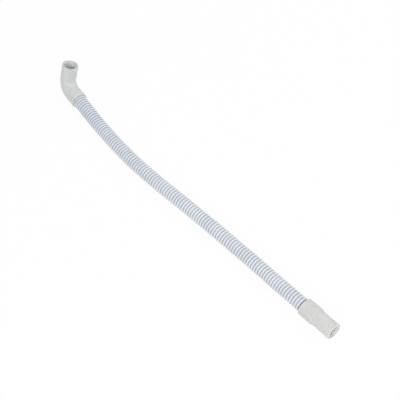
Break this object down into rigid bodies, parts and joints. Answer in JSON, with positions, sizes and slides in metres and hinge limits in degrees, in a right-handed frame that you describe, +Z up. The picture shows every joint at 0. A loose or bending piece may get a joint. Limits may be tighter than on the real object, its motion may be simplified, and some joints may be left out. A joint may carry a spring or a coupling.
{
  "type": "condenser dryer drain hose",
  "caption": "Corrugated plastic drain hose with a moulded elbow cuff on one end and a straight stepped cuff on the other, lying flat.",
  "frame": {"origin": "middle of the footprint, on the surface that the hose lies on", "axes": "+X along the straight cuff's axis towards its open mouth, which is nearly the hose's length; +Z up; the elbow's open leg stands up at the -X end and leans to +Y"},
  "size_m": [0.6988, 0.066, 0.0632],
  "materials": {
    "hose": "blow-moulded white polypropylene with a faint blue cast, satin",
    "cuff": "moulded light grey soft plastic, satin"
  },
  "bodies": {
    "root": {"corrugated_hose": "hose", "elbow_cuff": "cuff", "straight_cuff": "cuff"}
  },
  "joints": []
}
